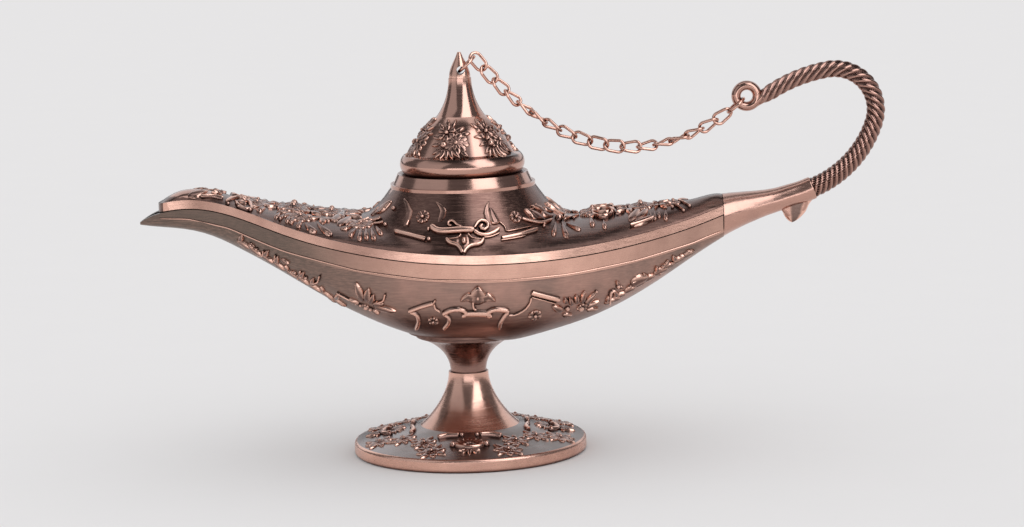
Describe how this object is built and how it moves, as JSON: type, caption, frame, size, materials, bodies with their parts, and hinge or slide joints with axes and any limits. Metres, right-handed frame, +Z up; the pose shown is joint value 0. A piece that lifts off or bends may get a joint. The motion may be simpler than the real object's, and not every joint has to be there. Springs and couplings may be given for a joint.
{
  "type": "genie oil lamp",
  "caption": "Boat-shaped oil lamp with a spout, round foot and rope handle; its domed lid lifts out on a hanging chain.",
  "frame": {"origin": "centre of the foot's underside, on the floor plane", "axes": "+Z up, +X towards the rope handle, the spout points to -X, -Y is the side that faces the viewer in the picture"},
  "size_m": [0.2168, 0.068, 0.117],
  "materials": {
    "foot_copper": "antique copper, brushed and darkened",
    "bowl_copper": "antique copper, brushed and darkened",
    "cover_copper": "antique copper, dark in the recesses",
    "lid_copper": "antique copper, polished spire",
    "rope_copper": "antique copper, rubbed bright on the ridges",
    "chain_copper": "copper-plated wire",
    "screw_steel": "zinc-plated"
  },
  "bodies": {
    "lamp": {"foot": "foot_copper", "stem_washer": "screw_steel", "stem_screw": "screw_steel", "bowl": "bowl_copper", "cover": "cover_copper", "rope_handle": "rope_copper"},
    "lid": {"lid": "lid_copper", "lid_finial": "lid_copper"},
    "lid_jump_ring": {"lid_jump_ring": "chain_copper"},
    "handle_jump_ring": {"handle_jump_ring": "chain_copper"},
    "chain_link_01": {"chain_link_01": "chain_copper"},
    "chain_link_02": {"chain_link_02": "chain_copper"},
    "chain_link_03": {"chain_link_03": "chain_copper"},
    "chain_link_04": {"chain_link_04": "chain_copper"},
    "chain_link_05": {"chain_link_05": "chain_copper"},
    "chain_link_06": {"chain_link_06": "chain_copper"},
    "chain_link_07": {"chain_link_07": "chain_copper"},
    "chain_link_08": {"chain_link_08": "chain_copper"},
    "chain_link_09": {"chain_link_09": "chain_copper"},
    "chain_link_10": {"chain_link_10": "chain_copper"},
    "chain_link_11": {"chain_link_11": "chain_copper"},
    "chain_link_12": {"chain_link_12": "chain_copper"},
    "chain_link_13": {"chain_link_13": "chain_copper"},
    "chain_link_14": {"chain_link_14": "chain_copper"},
    "chain_link_15": {"chain_link_15": "chain_copper"},
    "chain_link_16": {"chain_link_16": "chain_copper"},
    "chain_link_17": {"chain_link_17": "chain_copper"},
    "chain_link_18": {"chain_link_18": "chain_copper"}
  },
  "joints": [
    {"name": "lid_lift", "type": "slide", "parent": "lamp", "child": "lid", "axis": [0, 0, 1], "range_m": [0, 0.026]},
    {"name": "lid_ring_swing", "type": "hinge", "parent": "lid", "child": "lid_jump_ring", "pos_m": [0.00035, 0, 0.1118], "axis": [0, -1, 0], "range_deg": [-24, 1]},
    {"name": "handle_ring_swing", "type": "hinge", "parent": "lamp", "child": "handle_jump_ring", "pos_m": [0.08279, 0, 0.10197], "axis": [0, -1, 0], "range_deg": [-30, 1]},
    {"name": "link_01_rise", "type": "slide", "parent": "lamp", "child": "chain_link_01", "axis": [0.0436, 0, 0.999], "range_m": [-0.001, 0.025]},
    {"name": "link_02_swing", "type": "hinge", "parent": "lamp", "child": "chain_link_02", "pos_m": [0.63964, 0, 0.09778], "axis": [0, -1, 0], "range_deg": [-4, 1]},
    {"name": "link_03_swing", "type": "hinge", "parent": "lamp", "child": "chain_link_03", "pos_m": [0.4433, 0, 0.10489], "axis": [0, -1, 0], "range_deg": [-5, 1]},
    {"name": "link_04_swing", "type": "hinge", "parent": "lamp", "child": "chain_link_04", "pos_m": [0.32712, 0, 0.10818], "axis": [0, -1, 0], "range_deg": [-6, 1]},
    {"name": "link_05_swing", "type": "hinge", "parent": "lamp", "child": "chain_link_05", "pos_m": [0.25208, 0, 0.1095], "axis": [0, -1, 0], "range_deg": [-7, 1]},
    {"name": "link_06_swing", "type": "hinge", "parent": "lamp", "child": "chain_link_06", "pos_m": [0.201, 0, 0.10971], "axis": [0, -1, 0], "range_deg": [-9, 1]},
    {"name": "link_07_swing", "type": "hinge", "parent": "lamp", "child": "chain_link_07", "pos_m": [0.16509, 0, 0.10926], "axis": [0, -1, 0], "range_deg": [-11, 1]},
    {"name": "link_08_swing", "type": "hinge", "parent": "lamp", "child": "chain_link_08", "pos_m": [0.13943, 0, 0.10841], "axis": [0, -1, 0], "range_deg": [-13, 1]},
    {"name": "link_09_swing", "type": "hinge", "parent": "lamp", "child": "chain_link_09", "pos_m": [0.12098, 0, 0.10735], "axis": [0, -1, 0], "range_deg": [-15, 1]},
    {"name": "link_10_swing", "type": "hinge", "parent": "lamp", "child": "chain_link_10", "pos_m": [0.10778, 0, 0.10622], "axis": [0, -1, 0], "range_deg": [-18, 1]},
    {"name": "link_11_swing", "type": "hinge", "parent": "lamp", "child": "chain_link_11", "pos_m": [0.09848, 0, 0.10513], "axis": [0, -1, 0], "range_deg": [-20, 1]},
    {"name": "link_12_swing", "type": "hinge", "parent": "lamp", "child": "chain_link_12", "pos_m": [0.09209, 0, 0.10415], "axis": [0, -1, 0], "range_deg": [-23, 1]},
    {"name": "link_13_swing", "type": "hinge", "parent": "lamp", "child": "chain_link_13", "pos_m": [0.08787, 0, 0.10334], "axis": [0, -1, 0], "range_deg": [-25, 1]},
    {"name": "link_14_swing", "type": "hinge", "parent": "lamp", "child": "chain_link_14", "pos_m": [0.08525, 0, 0.10272], "axis": [0, -1, 0], "range_deg": [-27, 1]},
    {"name": "link_15_swing", "type": "hinge", "parent": "lamp", "child": "chain_link_15", "pos_m": [0.08375, 0, 0.1023], "axis": [0, -1, 0], "range_deg": [-29, 1]},
    {"name": "link_16_swing", "type": "hinge", "parent": "lamp", "child": "chain_link_16", "pos_m": [0.08303, 0, 0.10206], "axis": [0, -1, 0], "range_deg": [-29, 1]},
    {"name": "link_17_swing", "type": "hinge", "parent": "lamp", "child": "chain_link_17", "pos_m": [0.08278, 0, 0.10197], "axis": [0, -1, 0], "range_deg": [-30, 1]},
    {"name": "link_18_swing", "type": "hinge", "parent": "lamp", "child": "chain_link_18", "pos_m": [0.08279, 0, 0.10197], "axis": [0, -1, 0], "range_deg": [-30, 1]}
  ],
  "couplings": [
    {"joint": "lid_ring_swing", "follows": "lid_lift", "rad_per_m": -14.768},
    {"joint": "handle_ring_swing", "follows": "lid_lift", "rad_per_m": -19.087},
    {"joint": "link_01_rise", "follows": "lid_lift", "ratio": 0.93264},
    {"joint": "link_02_swing", "follows": "lid_lift", "rad_per_m": -1.4715},
    {"joint": "link_03_swing", "follows": "lid_lift", "rad_per_m": -2.1387},
    {"joint": "link_04_swing", "follows": "lid_lift", "rad_per_m": -2.9307},
    {"joint": "link_05_swing", "follows": "lid_lift", "rad_per_m": -3.8648},
    {"joint": "link_06_swing", "follows": "lid_lift", "rad_per_m": -4.956},
    {"joint": "link_07_swing", "follows": "lid_lift", "rad_per_m": -6.2141},
    {"joint": "link_08_swing", "follows": "lid_lift", "rad_per_m": -7.6379},
    {"joint": "link_09_swing", "follows": "lid_lift", "rad_per_m": -9.2099},
    {"joint": "link_10_swing", "follows": "lid_lift", "rad_per_m": -10.89},
    {"joint": "link_11_swing", "follows": "lid_lift", "rad_per_m": -12.614},
    {"joint": "link_12_swing", "follows": "lid_lift", "rad_per_m": -14.295},
    {"joint": "link_13_swing", "follows": "lid_lift", "rad_per_m": -15.835},
    {"joint": "link_14_swing", "follows": "lid_lift", "rad_per_m": -17.14},
    {"joint": "link_15_swing", "follows": "lid_lift", "rad_per_m": -18.139},
    {"joint": "link_16_swing", "follows": "lid_lift", "rad_per_m": -18.793},
    {"joint": "link_17_swing", "follows": "lid_lift", "rad_per_m": -19.1},
    {"joint": "link_18_swing", "follows": "lid_lift", "rad_per_m": -19.087}
  ]
}
